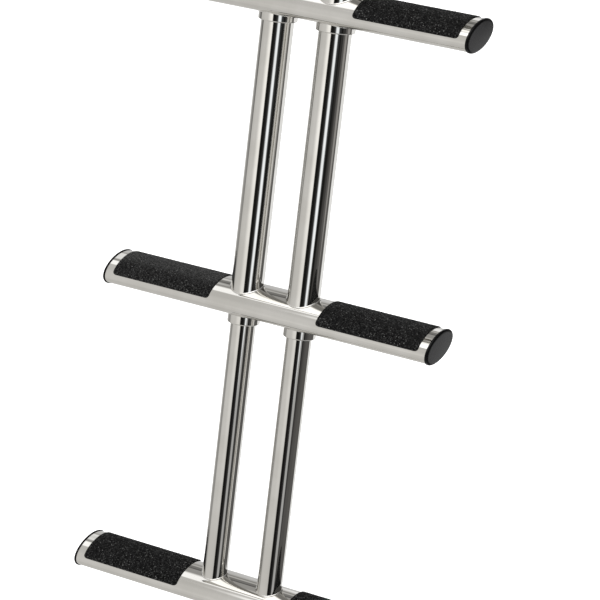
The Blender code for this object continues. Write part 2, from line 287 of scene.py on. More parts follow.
def oval_skin(solid, a, b, half, near, columns, rows, holes, steps, sign):
    """Skin of the oval tube with round holes; returns end rings and hole loops."""
    scale = 20.0
    reach = math.hypot(a * COS, b * SIN)
    turn = math.atan2(b * SIN, a * COS)
    xs = np.linspace(-near, near, columns)
    phis = np.linspace(0, 2 * math.pi, rows + 1)

    def inside(x, phi, grow):
        hit = np.zeros(np.shape(x), bool)
        w = reach * np.cos(phi + turn)
        top = np.sin(phi + turn) > 0
        for x0, radius, side in holes:
            hit |= (((x - x0) ** 2 + w ** 2 < (radius + grow) ** 2)
                    & (top == (side > 0)))
        return hit

    flat, where = [], []
    grid = -np.ones((columns, rows + 1), int)
    for i, x in enumerate(xs):
        for j, phi in enumerate(phis):
            if inside(np.array([x]), np.array([phi]), 0.45)[0]:
                continue
            grid[i, j] = len(flat)
            flat.append((x, phi))
    loops = []
    edges = []
    for x0, radius, side in holes:
        hx, hp, _ = saddle(a, b, radius, x0, side, steps)
        base = len(flat)
        flat.extend(zip(hx.tolist(), hp.tolist()))
        ids = list(range(base, base + steps))
        loops.append(ids)
        edges.extend((ids[k], ids[(k + 1) % steps]) for k in range(steps))
    for i in range(columns - 1):
        edges.append((int(grid[i, 0]), int(grid[i + 1, 0])))
        edges.append((int(grid[i, rows]), int(grid[i + 1, rows])))
    for j in range(rows):
        edges.append((int(grid[0, j]), int(grid[0, j + 1])))
        edges.append((int(grid[-1, j]), int(grid[-1, j + 1])))
    made = delaunay_2d_cdt([Vector((x, p * scale)) for x, p in flat], edges, [],
                           0, 1e-5, True)
    out_points, _, out_faces, origin = made[0], made[1], made[2], made[3]
    source = np.array([o[0] if o else -1 for o in origin])
    tris = np.array([f for f in out_faces if len(f) == 3], int)
    uv = np.array([(p[0], p[1] / scale) for p in out_points])
    mid = uv[tris].mean(axis=1)
    tris = tris[~inside(mid[:, 0], mid[:, 1], -0.02)]
    # the seam at the two ends of the angle is one line on the oval
    phi = uv[:, 1]
    merge = np.arange(len(uv))
    low_line = {round(float(uv[k, 0]), 4): k for k in range(len(uv)) if phi[k] < 1e-5}
    for k in range(len(uv)):
        if phi[k] > 2 * math.pi - 1e-5:
            merge[k] = low_line[round(float(uv[k, 0]), 4)]
    tris = merge[tris]
    pts = np.column_stack([uv[:, 0], a * np.cos(phi), b * np.sin(phi)])
    nrm = np.column_stack([np.zeros(len(uv)), b * np.cos(phi), a * np.sin(phi)])
    nrm /= np.linalg.norm(nrm, axis=1, keepdims=True)
    nrm *= sign
    base = solid.verts(pts)
    solid.faces(base + tris, nrm[tris])
    back = {int(s): k for k, s in enumerate(source) if s >= 0}

    # long plain stretches out to the two ends
    rings = []
    e, en = ellipse(a, b, rows)
    n3 = np.column_stack([np.zeros(rows), en]) * sign
    nxt = np.roll(np.arange(rows), -1)
    for s, i in ((-1, 0), (1, columns - 1)):
        near_ring = np.array([base + merge[back[int(grid[i, j])]] for j in range(rows)])
        end = solid.verts(np.column_stack([np.full(rows, s * half), e]))
        end_ring = end + np.arange(rows)
        index = np.stack([near_ring, near_ring[nxt], end_ring[nxt], end_ring], 1)
        solid.faces(index, np.stack([n3, n3[nxt], n3[nxt], n3], 1))
        rings.append(end_ring)
    hole_rings = [np.array([base + back[k] for k in ids]) for ids in loops]
    return rings, hole_rings


def tread(name, centre, radius, through, material):
    """Oval tube with its wall, its holes for the two uprights and open ends."""
    half = TREAD_LENGTH / 2
    holes = []
    for s in (-1, 1):
        holes.append((s * TUBE_SPACING / 2, radius + GAP, 1))
        if through:
            holes.append((s * TUBE_SPACING / 2, radius + GAP, -1))
    rows, steps = 192, 96
    solid = Solid()
    outer_ends, outer_holes = oval_skin(solid, TREAD_A, TREAD_B, half, 57.0, 58,
                                        rows, holes, steps, 1.0)
    inner_ends, inner_holes = oval_skin(solid, TREAD_A - TREAD_WALL,
                                        TREAD_B - TREAD_WALL, half, 57.0, 20,
                                        rows, holes, steps, -1.0)
    nxt = np.roll(np.arange(rows), -1)
    for s, a, b in zip((-1, 1), outer_ends, inner_ends):
        index = np.stack([a, a[nxt], b[nxt], b], 1)
        solid.faces(index, np.tile(np.array([s, 0.0, 0.0]), (rows, 4, 1)))
    nxt = np.roll(np.arange(steps), -1)
    beta = np.linspace(0, 2 * math.pi, steps, endpoint=False)
    radial = np.outer(np.sin(beta), [1.0, 0, 0]) + np.outer(np.cos(beta), ACROSS)
    for a, b in zip(outer_holes, inner_holes):
        index = np.stack([a, a[nxt], b[nxt], b], 1)
        normals = -np.stack([radial, radial[nxt], radial[nxt], radial], 1)
        solid.faces(index, normals)
    return solid.make(name, material, shift_matrix(centre))


def saddle_weld(name, centre, x0, radius, side, leg, material, seed):
    """Fillet bead round the tube where it meets the tread's skin."""
    steps, across = 420, 9
    rng = np.random.default_rng(seed)
    x, phi, beta = saddle(TREAD_A, TREAD_B, radius, x0, side, steps)
    p = np.column_stack([x, TREAD_A * np.cos(phi), TREAD_B * np.sin(phi)])
    m = np.column_stack([np.zeros(steps), TREAD_B * np.cos(phi),
                         TREAD_A * np.sin(phi)])
    m /= np.linalg.norm(m, axis=1, keepdims=True)
    radial = np.outer(np.sin(beta), [1.0, 0, 0]) + np.outer(np.cos(beta), ACROSS)
    along = np.roll(p, -1, axis=0) - np.roll(p, 1, axis=0)
    along /= np.linalg.norm(along, axis=1, keepdims=True)

    def square(v):
        v = v - (v * along).sum(axis=1, keepdims=True) * along
        return v / np.linalg.norm(v, axis=1, keepdims=True)

    up = square(np.tile(side * UP, (steps, 1)))
    away = square(radial - (radial * m).sum(axis=1, keepdims=True) * m)
    # soft irregularities and fine ripples of the bead
    wave = np.zeros(steps)
    for k in (3, 5, 8, 13, 21):
        wave += rng.normal() / k * np.cos(k * beta + rng.uniform(0, 6.28))
    ripple = np.abs(np.sin(beta * 52.0)) ** 0.7
    size = leg * (1.0 + 0.08 * wave + 0.025 * (ripple - 0.6))
    solid = Solid()
    rows = []
    for k in range(across):
        q = k / (across - 1) * math.pi / 2
        flat = 1.0 / (math.cos(q) + math.sin(q))
        reach = size * flat ** 0.62
        rows.append(p + up * (reach * math.cos(q))[:, None]
                    + away * (reach * math.sin(q))[:, None])
    rows[0] = rows[0] - radial * 0.12
    rows[-1] = rows[-1] - m * 0.12
    rows.append(p - up * 0.35 - away * 0.35)
    count = len(rows)
    grid = np.zeros((count, steps), int)
    for k, row in enumerate(rows):
        grid[k] = solid.verts(row) + np.arange(steps)
    # normals of the outer face from its own shape
    face = np.stack(rows[:across])
    du = np.roll(face, -1, axis=1) - np.roll(face, 1, axis=1)
    dv = np.gradient(face, axis=0)
    nrm = np.cross(du, dv)
    nrm /= np.maximum(np.linalg.norm(nrm, axis=2, keepdims=True), 1e-12)
    out = up + away
    if (nrm[across // 2] * out).sum() < 0:
        nrm = -nrm
    nxt = np.roll(np.arange(steps), -1)
    for k in range(across - 1):
        index = np.stack([grid[k], grid[k][nxt], grid[k + 1][nxt], grid[k + 1]], 1)
        solid.faces(index, np.stack([nrm[k], nrm[k][nxt], nrm[k + 1][nxt],
                                     nrm[k + 1]], 1))
    for k, j, n3 in ((across - 1, across, -m), (across, 0, -radial)):
        index = np.stack([grid[k], grid[k][nxt], grid[j][nxt], grid[j]], 1)
        solid.faces(index, np.stack([n3, n3[nxt], n3[nxt], n3], 1))
    return solid.make(name, material, shift_matrix(centre))


# ------------------------------------------------------------------- end caps
def end_cap(name, centre, s, material):
    """Plug with a thin oval flange, a rounded edge, its face and a spigot."""
    half = TREAD_LENGTH / 2
    sides = 160
    loop, loop_n = ellipse(TREAD_A, TREAD_B, sides)
    g_out = CAP_OVERSIZE
    g_in = -(TREAD_WALL + GAP)
    g_bore = g_in - CAP_SPIGOT_WALL
    x_face = half + CAP_FLANGE - 0.35
    x_side, inward = half + 0.9, 3.2       # where the rounded edge begins
    deep = x_face - x_side
    # from the spigot's open end, out over the flange, to the face
    corners = [(g_bore, half - CAP_SPIGOT, 0.0), (g_in, half - CAP_SPIGOT, 0.4),
               (g_in, half + 0.15, 0.15), (g_out, half + 0.15, 0.3),
               (g_out, x_side, 0.0)]

    def lift_x(p, h):
        return np.column_stack([np.full(len(p), float(h)), p[:, 0], p[:, 1]])

    solid = Solid()
    profile = corner_profile(corners, closed=False)
    for k in range(1, 13):
        q = k / 12 * math.pi / 2
        normal = np.array([deep * math.cos(q), inward * math.sin(q)])
        normal /= np.linalg.norm(normal)
        point = np.array([g_out - inward * (1 - math.cos(q)),
                          x_side + deep * math.sin(q)])
        profile.append((point, normal, normal))
    grid = sweep(solid, loop, loop_n, profile, lift_x, closed=False)
    nxt = np.roll(np.arange(sides), -1)

    # the face: rings drawn in to the centre, rising 0.35 mm to the middle
    rim2 = loop + loop_n * profile[-1][0][0]
    rings, crown = 14, 0.35
    last, last_n = grid[-1], None
    for k in range(1, rings + 1):
        f = 1.0 - k / rings
        rise = crown * (1 - f * f)
        if f > 0:
            pts = np.column_stack([np.full(sides, x_face + rise), rim2 * f])
            ids = solid.verts(pts) + np.arange(sides)
        else:
            ids = np.full(sides, solid.verts([[x_face + rise, 0, 0]]))

        def face_n(g):
            v = np.column_stack([np.ones(sides),
                                 2 * crown * g * rim2[:, 0] / TREAD_A ** 2,
                                 2 * crown * g * rim2[:, 1] / TREAD_B ** 2])
            return v / np.linalg.norm(v, axis=1, keepdims=True)

        na, nb = face_n(1.0 - (k - 1) / rings), face_n(f)
        if f > 0:
            solid.faces(np.stack([last, last[nxt], ids[nxt], ids], 1),
                        np.stack([na, na[nxt], nb[nxt], nb], 1))
        else:
            solid.faces(np.stack([last, last[nxt], ids], 1),
                        np.stack([na, na[nxt], nb], 1))
        last = ids
    # inside of the spigot and its floor
    bore2 = loop + loop_n * g_bore
    floor = solid.verts(np.column_stack([np.full(sides, half + 0.15), bore2]))
    floor_ids = floor + np.arange(sides)
    inward = np.column_stack([np.zeros(sides), -loop_n])
    solid.faces(np.stack([grid[0], grid[0][nxt], floor_ids[nxt], floor_ids], 1),
                np.stack([inward, inward[nxt], inward[nxt], inward], 1))
    mid = solid.verts([[half + 0.15, 0, 0]])
    solid.faces(np.stack([floor_ids, floor_ids[nxt], np.full(sides, mid)], 1),
                np.tile(np.array([-1.0, 0, 0]), (sides, 3, 1)))
    if s < 0:
        for block in solid.points:
            block[:, 0] *= -1
        turned_normals = []
        for size, idx, nrm in zip(solid.sizes, solid.corners, solid.normals):
            k = int(size[0])
            nrm = nrm.reshape(-1, k, 3)[:, ::-1].copy()
            nrm[..., 0] *= -1
            turned_normals.append((idx.reshape(-1, k)[:, ::-1].ravel(),
                                   nrm.reshape(-1, 3)))
        solid.corners = [a for a, _ in turned_normals]
        solid.normals = [b for _, b in turned_normals]
    return solid.make(name, material, shift_matrix(centre))


# ------------------------------------------------------------------------ pads
def grit(x, y, rng_seed, pitch=0.95):
    """Height of close-packed mineral grains, 0 to about 1."""
    cx, cy = np.floor(x / pitch).astype(int), np.floor(y / pitch).astype(int)
    lo_x, lo_y = cx.min() - 1, cy.min() - 1
    nx, ny = cx.max() - lo_x + 2, cy.max() - lo_y + 2
    rng = np.random.default_rng(rng_seed)
    jx = rng.uniform(0.12, 0.88, (nx, ny))
    jy = rng.uniform(0.12, 0.88, (nx, ny))
    tall = rng.uniform(0.25, 1.0, (nx, ny)) ** 1.3
    wide = rng.uniform(0.5, 0.85, (nx, ny)) * pitch
    best = np.zeros_like(x)
    for dx in (-1, 0, 1):
        for dy in (-1, 0, 1):
            i = np.clip(cx + dx - lo_x, 0, nx - 1)
            j = np.clip(cy + dy - lo_y, 0, ny - 1)
            gx = (cx + dx + jx[i, j]) * pitch
            gy = (cy + dy + jy[i, j]) * pitch
            d = np.hypot(x - gx, y - gy) / wide[i, j]
            best = np.maximum(best, tall[i, j] * np.clip(1 - d * d, 0, 1))
    return best


def grip_pad(name, centre, s, material, seed):
    """Non-slip sheet bent over the tread: a thin backing under real grains."""
    lo, hi = PAD_EDGE_ANGLE, math.pi - PAD_EDGE_ANGLE
    mid = 0.5 * (PAD_INNER_X + PAD_OUTER_X)
    half = 0.5 * (PAD_OUTER_X - PAD_INNER_X)
    fine = np.linspace(lo, hi, 4001)
    arc = np.concatenate([[0], np.cumsum(np.hypot(
        np.diff(TREAD_A * np.cos(fine)), np.diff(TREAD_B * np.sin(fine))))])
    rows, cols = int(arc[-1] / 0.47), int(2 * half / 0.52)
    at = np.linspace(0, arc[-1], rows + 1)
    # rows crowd a little at the two long edges, so the corners come out round
    ease = np.linspace(0, 1, rows + 1)
    ease = ease - 0.35 * np.sin(2 * math.pi * ease) / (2 * math.pi)
    at = arc[-1] * ease
    angle = np.interp(at, arc, fine)
    edge = np.minimum(at, arc[-1] - at)
    inset = np.where(edge < PAD_CORNER,
                     PAD_CORNER - np.sqrt(np.maximum(
                         0, PAD_CORNER ** 2 - (PAD_CORNER - edge) ** 2)), 0.0)
    reach = half - inset
    u = np.linspace(-1, 1, cols + 1)
    x = s * mid + reach[:, None] * u[None, :]
    v = np.repeat(at[:, None], cols + 1, axis=1)
    height = grit(x, v, seed)
    fine_grit = grit(x + 400.0, v + 40.0, seed + 7, pitch=0.62)
    # distance in from the outline, to roll the surface down at the edge
    inner = np.minimum(np.minimum(v, arc[-1] - v),
                       reach[:, None] * (1 - np.abs(u))[None, :])
    roll = 1 - np.clip(1 - inner / 0.7, 0, 1) ** 2
    top = 0.62 + 0.22 * roll + 0.30 * height * (0.35 + 0.65 * roll) + 0.07 * fine_grit
    n2 = np.column_stack([TREAD_B * np.cos(angle), TREAD_A * np.sin(angle)])
    n2 /= np.linalg.norm(n2, axis=1, keepdims=True)
    e2 = np.column_stack([TREAD_A * np.cos(angle), TREAD_B * np.sin(angle)])

    def place(xx, off):
        yz = e2[:, None, :] + n2[:, None, :] * off[..., None]
        return np.concatenate([xx[..., None], yz], axis=2)

    pts = place(x, top)
    low_x = x[:, [0, -1]]
    low = place(low_x, np.full(low_x.shape, 0.02))
    m, n = rows + 1, cols + 1
    ids = np.arange(m * n).reshape(m, n)
    low_ids = m * n + np.arange(m * 2).reshape(m, 2)
    verts = np.concatenate([pts.reshape(-1, 3), low.reshape(-1, 3)]) * MM
    faces = []
    a, b, c, d = ids[:-1, :-1], ids[:-1, 1:], ids[1:, 1:], ids[1:, :-1]
    quads = np.stack([a, b, c, d], -1).reshape(-1, 4)
    # wind the quads so that they face away from the tread
    q = verts[quads[len(quads) // 2]]
    flip = bool(np.cross(q[1] - q[0], q[2] - q[0])[2] < 0)
    if flip:
        quads = quads[:, ::-1]
    faces = quads.tolist()
    under = np.stack([low_ids[:-1, 0], low_ids[:-1, 1], low_ids[1:, 1],
                      low_ids[1:, 0]], -1)
    side_a = np.stack([ids[:-1, 0], low_ids[:-1, 0], low_ids[1:, 0], ids[1:, 0]], -1)
    side_b = np.stack([ids[:-1, -1], low_ids[:-1, 1], low_ids[1:, 1], ids[1:, -1]], -1)
    faces += (under if flip else under[:, ::-1]).tolist()
    faces += (side_a if flip else side_a[:, ::-1]).tolist()
    faces += (side_b[:, ::-1] if flip else side_b).tolist()
    first = ids[0].tolist() + [int(low_ids[0, 1]), int(low_ids[0, 0])]
    last = ids[-1].tolist() + [int(low_ids[-1, 1]), int(low_ids[-1, 0])]
    faces.append(first if flip else first[::-1])
    faces.append(last[::-1] if flip else last)
    mesh = bpy.data.meshes.new(name)
    mesh.from_pydata(verts.tolist(), [], faces)
    mesh.update()
    mesh.shade_smooth()
    mesh.set_sharp_from_angle(angle=math.radians(50.0))
    mesh.materials.append(material)
    obj = bpy.data.objects.new(name, mesh)
    bpy.context.scene.collection.objects.link(obj)
    obj.matrix_world = shift_matrix(centre)
    return obj


# --------------------------------------------------- plate, webs and their welds
def rounded_outline(points, radii, step_deg=6.0):
    """Closed plane outline with rounded corners: points and outward normals."""
    prof = []
    n = len(points)
    for i in range(n):
        p0, p1, p2 = (np.array(points[i - 1], float), np.array(points[i], float),
                      np.array(points[(i + 1) % n], float))
        d1 = (p1 - p0) / np.linalg.norm(p1 - p0)
        d2 = (p2 - p1) / np.linalg.norm(p2 - p1)
        turn = math.atan2(d1[0] * d2[1] - d1[1] * d2[0], d1 @ d2)
        r = radii[i]
        cut = r * math.tan(abs(turn) / 2)
        start = p1 - d1 * cut
        side = np.array([d1[1], -d1[0]])
        centre = start - side * r
        a0 = math.atan2(side[1], side[0])
        steps = max(2, int(abs(math.degrees(turn)) / step_deg))
        for k in range(steps + 1):
            a = a0 + turn * k / steps
            nrm = np.array([math.cos(a), math.sin(a)])
            prof.append((centre + nrm * r, nrm))
    return np.array([p for p, _ in prof]), np.array([q for _, q in prof])


def slab(name, outline, outline_n, holes, low, high, edge, lift, axis, material):
    """Flat piece between two heights with rounded edges and through holes."""
    solid = Solid()
    rims = []
    prof = corner_profile([(-edge * 1.5, low, 0.0), (0.0, low, edge),
                           (0.0, high, edge), (-edge * 1.5, high, 0.0)],
                          closed=False)
    rims.append(sweep(solid, outline, outline_n, prof, lift, closed=False))
    loops2 = [outline - outline_n * edge * 1.5]
    for centre, radius in holes:
        loop, loop_n = circle(radius, 64)
        rims.append(sweep(solid, loop + np.array(centre), -loop_n, prof, lift,
                          closed=False))
        loops2.append(loop + np.array(centre) + loop_n * edge * 1.5)
    flat, edges, owner = [], [], []
    for k, loop in enumerate(loops2):
        base = len(flat)
        flat.extend(Vector(p) for p in loop)
        owner.extend((k, i) for i in range(len(loop)))
        edges.extend((base + i, base + (i + 1) % len(loop)) for i in range(len(loop)))
    made = delaunay_2d_cdt(flat, edges, [], 0, 1e-6, True)
    uv = np.array([(p[0], p[1]) for p in made[0]])
    src = [o[0] if o else -1 for o in made[3]]
    tris = np.array([f for f in made[2] if len(f) == 3], int)
    mid = uv[tris].mean(axis=1)
    keep = inside_loop(mid, loops2[0])
    for loop in loops2[1:]:
        keep &= ~inside_loop(mid, loop)
    tris = tris[keep]
    for row, sgn in ((0, -1.0), (-1, 1.0)):
        index = np.array([rims[owner[src[k]][0]][row][owner[src[k]][1]]
                          for k in range(len(uv))])
        normal = np.array(axis, float) * sgn
        solid.faces(index[tris], np.tile(normal, (len(tris), 3, 1)))
    return solid.make(name, material)


def inside_loop(points, loop):
    """Which plane points lie inside a closed outline."""
    x, y = points[:, 0], points[:, 1]
    hit = np.zeros(len(points), bool)
    for (x0, y0), (x1, y1) in zip(loop, np.roll(loop, -1, axis=0)):
        cross = (y0 > y) != (y1 > y)
        with np.errstate(divide="ignore", invalid="ignore"):
            at = (x1 - x0) * (y - y0) / (y1 - y0) + x0
        hit ^= cross & (x < at)
    return hit


def web_front_y(z):
    """Where a web's front edge meets its leaning tube, at height z."""
    return AXIS_Y_TOP + (z - WEB_TOP) * math.tan(LEAN_ANGLE) + (UPPER_R + GAP) / COS


def line_weld(name, start, end, out_a, out_b, leg, material, seed, taper=4.0):
    """Straight fillet bead in the corner between two faces, with round ends."""
    start, end = np.array(start, float), np.array(end, float)
    out_a, out_b = np.array(out_a, float), np.array(out_b, float)
    length = np.linalg.norm(end - start)
    steps, across = int(length / 0.45), 9
    rng = np.random.default_rng(seed)
    t = np.linspace(0, 1, steps + 1)
    p = start + np.outer(t, end - start)
    d = t * length
    wave = sum(rng.normal() * 0.4 * np.cos(2 * math.pi * d / w + rng.uniform(0, 6.28))
               for w in (37.0, 23.0, 14.0, 9.0))
    ripple = np.abs(np.sin(d * math.pi / 1.5)) ** 0.7
    fade = np.clip(np.minimum(d, length - d) / taper, 0, 1)
    fade = np.sqrt(np.clip(1 - (1 - fade) ** 2, 0.02, 1))
    size = leg * (1 + 0.05 * wave + 0.06 * (ripple - 0.6)) * fade
    rows = []
    for k in range(across):
        q = k / (across - 1) * math.pi / 2
        reach = size / (math.cos(q) + math.sin(q)) ** 0.6
        rows.append(p + np.outer(reach * math.cos(q), out_a)
                    + np.outer(reach * math.sin(q), out_b))
    rows[0] = rows[0] - out_b * 0.35
    rows[-1] = rows[-1] - out_a * 0.35
    rows.append(p - (out_a + out_b) * 0.35)
    mesh = bpy.data.meshes.new(name)
    grid = np.arange(len(rows) * (steps + 1)).reshape(len(rows), steps + 1)
    verts = np.concatenate(rows) * MM
    faces = []
    n = len(rows)
    for k in range(n):
        j = (k + 1) % n
        for i in range(steps):
            faces.append((int(grid[k, i]), int(grid[k, i + 1]),
                          int(grid[j, i + 1]), int(grid[j, i])))
    faces.append([int(g) for g in grid[:, 0]])
    faces.append([int(g) for g in grid[::-1, -1]])
    mesh.from_pydata(verts.tolist(), [], faces)
    mesh.update()
    import bmesh
    bm = bmesh.new()
    bm.from_mesh(mesh)
    bmesh.ops.recalc_face_normals(bm, faces=bm.faces)
    bm.to_mesh(mesh)
    bm.free()
    mesh.shade_smooth()
    mesh.set_sharp_from_angle(angle=math.radians(60.0))
    mesh.materials.append(material)
    obj = bpy.data.objects.new(name, mesh)
    bpy.context.scene.collection.objects.link(obj)
    return obj


# ================================================================= materials
class Nodes:
    """Small helper round a material's node tree."""

    def __init__(self, name):
        self.mat = bpy.data.materials.new(name)
        self.mat.use_nodes = True
        self.tree = self.mat.node_tree
        self.bsdf = self.tree.nodes["Principled BSDF"]
        self.coord = self.tree.nodes.new("ShaderNodeTexCoord")

    def add(self, kind, **values):
        node = self.tree.nodes.new(kind)
        for key, value in values.items():
            if hasattr(node, key) and key not in node.inputs:
                setattr(node, key, value)
            else:
                node.inputs[key.replace("_", " ")].default_value = value
        return node

    def link(self, a, b):
        self.tree.links.new(a, b)

    def mapped(self, scale=(1, 1, 1)):
        node = self.tree.nodes.new("ShaderNodeMapping")
        node.inputs["Scale"].default_value = scale
        self.link(self.coord.outputs["Object"], node.inputs["Vector"])
        return node.outputs["Vector"]

    def noise(self, vector, scale, detail=4.0, roughness=0.5):
        node = self.tree.nodes.new("ShaderNodeTexNoise")
        node.inputs["Scale"].default_value = scale
        node.inputs["Detail"].default_value = detail
        node.inputs["Roughness"].default_value = roughness
        self.link(vector, node.inputs["Vector"])
        return node.outputs["Fac"]

    def cells(self, vector, scale, feature="F1"):
        node = self.tree.nodes.new("ShaderNodeTexVoronoi")
        node.feature = feature
        node.inputs["Scale"].default_value = scale
        self.link(vector, node.inputs["Vector"])
        return node

    def ranged(self, value, a, b, c, d, smooth=False):
        node = self.tree.nodes.new("ShaderNodeMapRange")
        if smooth:
            node.interpolation_type = "SMOOTHSTEP"
        node.inputs["From Min"].default_value = a
        node.inputs["From Max"].default_value = b
        node.inputs["To Min"].default_value = c
        node.inputs["To Max"].default_value = d
        self.link(value, node.inputs["Value"])
        return node.outputs["Result"]

    def math(self, op, a, b):
        node = self.tree.nodes.new("ShaderNodeMath")
        node.operation = op
        for i, v in enumerate((a, b)):
            if isinstance(v, (int, float)):
                node.inputs[i].default_value = v
            else:
                self.link(v, node.inputs[i])
        return node.outputs[0]

    def mix_colour(self, factor, a, b):
        node = self.tree.nodes.new("ShaderNodeMix")
        node.data_type = "RGBA"
        self.link(factor, node.inputs["Factor"])
        for socket, v in ((node.inputs[6], a), (node.inputs[7], b)):
            if isinstance(v, tuple):
                socket.default_value = (*v, 1.0)
            else:
                self.link(v, socket)
        return node.outputs[2]

    def bump(self, height, strength, distance, normal=None):
        node = self.tree.nodes.new("ShaderNodeBump")
        node.inputs["Strength"].default_value = strength
        node.inputs["Distance"].default_value = distance
        self.link(height, node.inputs["Height"])
        if normal is not None:
            self.link(normal, node.inputs["Normal"])
        return node.outputs["Normal"]


def polished_steel(name, along="Z", wear_and_painted_sheen=1.0, haze=0.0):
    """Mirror-polished stainless: warm grey, faint polishing lines and clouding."""
    n = Nodes(name)
    stretch = {"Z": (1.0, 1.0, 0.06), "X": (0.06, 1.0, 1.0), "N": (1, 1, 1)}[along]
    n.bsdf.inputs["Metallic"].default_value = 1.0
    lines = n.noise(n.mapped(stretch), 900.0, 3.0, 0.6)
    cloud = n.noise(n.mapped(), 28.0, 4.0, 0.55)
    smear = n.noise(n.mapped(tuple(0.25 if s < 1 else 1.0 for s in stretch)),
                    120.0, 4.0, 0.6)
    colour = n.mix_colour(n.ranged(cloud, 0.35, 0.68, 0.0, 1.0, True),
                          (0.735, 0.722, 0.69), (0.80, 0.788, 0.762))
    n.link(colour, n.bsdf.inputs["Base Color"])
    rough = n.math("ADD", n.ranged(lines, 0.35, 0.7, 0.0, 0.014 * wear_and_painted_sheen),
                   n.ranged(smear, 0.4, 0.75, 0.022 + haze, 0.05 + haze, True))
    n.link(rough, n.bsdf.inputs["Roughness"])
    wavy = n.noise(n.mapped(tuple(0.35 if s < 1 else 1.0 for s in stretch)),
                   55.0, 2.0, 0.45)
    normal = n.bump(wavy, 0.045, 0.0004)
    normal = n.bump(lines, 0.03 * wear_and_painted_sheen, 0.00002, normal)
    n.link(normal, n.bsdf.inputs["Normal"])
    return n.mat


def weld_steel(name):
    """Bright weld metal: rippled, a touch rougher, faint heat tint."""
    n = Nodes(name)
    n.bsdf.inputs["Metallic"].default_value = 1.0
    tint = n.noise(n.mapped(), 160.0, 3.0)
    colour = n.mix_colour(n.ranged(tint, 0.4, 0.7, 0.0, 1.0, True),
                          (0.80, 0.79, 0.77), (0.70, 0.675, 0.63))
    n.link(colour, n.bsdf.inputs["Base Color"])
    grain = n.noise(n.mapped(), 900.0, 3.0)
    n.link(n.ranged(grain, 0.3, 0.7, 0.12, 0.24), n.bsdf.inputs["Roughness"])
    n.link(n.bump(grain, 0.25, 0.0001), n.bsdf.inputs["Normal"])
    return n.mat


def grit_pad_material(name, wear_and_painted_sheen=0.0):
    """Black mineral grit in a rubbery binder, with paler, glinting grains.

    The second argument paints sheen. Above zero the grains grow paler from the front edge
    over the top to the back of the tread, more so above 1: a painted sheen. Below zero the
    back is painted darker: a painted shade.
    """
    n = Nodes(name)
    coarse = n.cells(n.mapped(), 780.0)
    fine = n.cells(n.mapped((1.07, 0.97, 1.03)), 1350.0)
    pick = n.tree.nodes.new("ShaderNodeSeparateColor")
    n.link(coarse.outputs["Color"], pick.inputs["Color"])
    pick2 = n.tree.nodes.new("ShaderNodeSeparateColor")
    n.link(fine.outputs["Color"], pick2.inputs["Color"])
    core = n.ranged(coarse.outputs["Distance"], 0.30, 0.60, 1.0, 0.0, True)
    core2 = n.ranged(fine.outputs["Distance"], 0.35, 0.65, 1.0, 0.0, True)
    split = n.tree.nodes.new("ShaderNodeSeparateXYZ")
    n.link(n.coord.outputs["Object"], split.inputs["Vector"])
    # painted sheen: a gradient in object Y makes the grains paler towards the back of the
    # pad, and darker there for a negative amount (painted shade); lift lightens the grain
    # colours of the brightest copy
    low, high, lift = (0.02, 0.31, 1.4) if wear_and_painted_sheen > 1.0 else (0.05, 0.25, 1.0)
    back = n.ranged(split.outputs[1], -0.016, 0.010, low * wear_and_painted_sheen, high * wear_and_painted_sheen, True)
    clump = n.noise(n.mapped(), 640.0, 3.0, 0.65)
    clump = n.ranged(clump, 0.38, 0.62, 0.15, 1.0, True)
    pale = n.math("MULTIPLY", n.ranged(pick.outputs[0], 0.88, 0.99, 0.0, 1.0, True), core)
    grey = n.math("MULTIPLY", n.ranged(pick.outputs[1], 0.70, 0.97, 0.0, 1.0, True), core)
    # the dusky grains take the painted sheen from the back gradient
    dusk = n.math("MULTIPLY", n.ranged(n.math("ADD", pick2.outputs[1], back),
                                       0.48, 0.95, 0.0, 1.0, True), core2)
    dusk = n.math("MULTIPLY", dusk, clump)
    patch = n.noise(n.mapped(), 40.0, 4.0, 0.6)
    base = n.mix_colour(n.ranged(patch, 0.35, 0.7, 0.0, 1.0, True),
                        (0.0020, 0.0020, 0.0021), (0.0038, 0.0038, 0.0039))
    salt = n.noise(n.mapped(), 1150.0, 2.0, 0.7)
    # more pale specks towards the back: painted sheen
    salt = n.math("ADD", salt, n.math("MULTIPLY", back, 0.8))
    salt = n.math("MULTIPLY", n.ranged(salt, 0.48, 0.74, 0.0, 1.0, True), clump)
    # lift brightens these grain colours in the brightest copy: painted sheen
    base = n.mix_colour(salt, base, (0.044 * lift,) * 3)
    base = n.mix_colour(dusk, base, (0.056 * lift,) * 3)
    base = n.mix_colour(grey, base, (0.062, 0.062, 0.0615))
    base = n.mix_colour(pale, base, (0.17, 0.17, 0.167))
    n.link(base, n.bsdf.inputs["Base Color"])
    n.link(n.ranged(pick.outputs[2], 0.0, 1.0, 0.40, 0.85), n.bsdf.inputs["Roughness"])
    glint = n.math("MULTIPLY", n.ranged(pick2.outputs[2], 0.78, 0.96, 0.0, 1.0, True), core2)
    n.link(n.ranged(glint, 0.0, 1.0, 0.06, 0.75), n.bsdf.inputs["Specular IOR Level"])
    rough = n.noise(n.mapped(), 2600.0, 3.0, 0.65)
    normal = n.bump(fine.outputs["Distance"], 0.65, 0.0002)
    normal = n.bump(rough, 0.35, 0.0001, normal)
    n.link(normal, n.bsdf.inputs["Normal"])
    return n.mat


